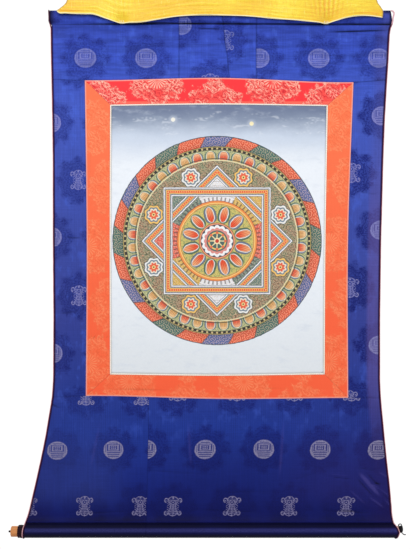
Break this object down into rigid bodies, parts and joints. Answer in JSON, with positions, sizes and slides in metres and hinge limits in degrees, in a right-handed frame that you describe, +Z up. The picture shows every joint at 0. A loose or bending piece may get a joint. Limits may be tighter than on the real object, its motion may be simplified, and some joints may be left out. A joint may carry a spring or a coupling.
{
  "type": "thangka scroll painting with top batten and bottom roller",
  "caption": "Hanging scroll painting: painted cloth in mitred brocade borders, cased over a flat batten and round a wooden roller, with a silk veil across the head.",
  "frame": {"origin": "middle of the upper edge of the top casing, in the plane of the batten's axis", "axes": "+X to the viewer's right along the batten, +Y away from the viewer, towards the wall, +Z up"},
  "size_m": [0.8012, 0.0314, 1.1318],
  "materials": {
    "painted_cotton": "matte painted cotton, primed and smooth, with faint canvas weave",
    "cream_piping": "soft satin piping",
    "red_brocade": "satin silk with a woven tone-on-tone scroll pattern",
    "orange_brocade": "satin silk with a woven tone-on-tone scroll pattern",
    "blue_brocade": "ribbed satin silk with woven medallions in darker blue and silver grey",
    "red_piping": "satin cord",
    "dark_lining": "plain matte cotton",
    "yellow_silk": "thin satin silk with soft folds",
    "wood": "bare turned softwood with fine grain",
    "nail_iron": "dark iron",
    "black_thread": "matte twisted thread"
  },
  "bodies": {
    "root": {"painting": "painted_cotton", "picture_piping_top": "cream_piping", "picture_piping_bottom": "cream_piping", "picture_piping_left": "cream_piping", "picture_piping_right": "cream_piping", "border_top": "red_brocade", "border_bottom": "orange_brocade", "border_left": "orange_brocade", "border_right": "orange_brocade", "top_panel_left": "blue_brocade", "top_panel_mid_left": "blue_brocade", "top_panel_mid_right": "blue_brocade", "top_panel_right": "blue_brocade", "side_panel_left": "blue_brocade", "side_panel_right": "blue_brocade", "bottom_panel_left": "blue_brocade", "bottom_panel_right": "blue_brocade", "edge_piping_left": "red_piping", "edge_piping_right": "red_piping", "top_batten": "wood", "roller": "wood", "roller_nail": "nail_iron", "roller_cuff": "dark_lining", "end_tie": "black_thread", "veil": "yellow_silk"}
  },
  "joints": []
}
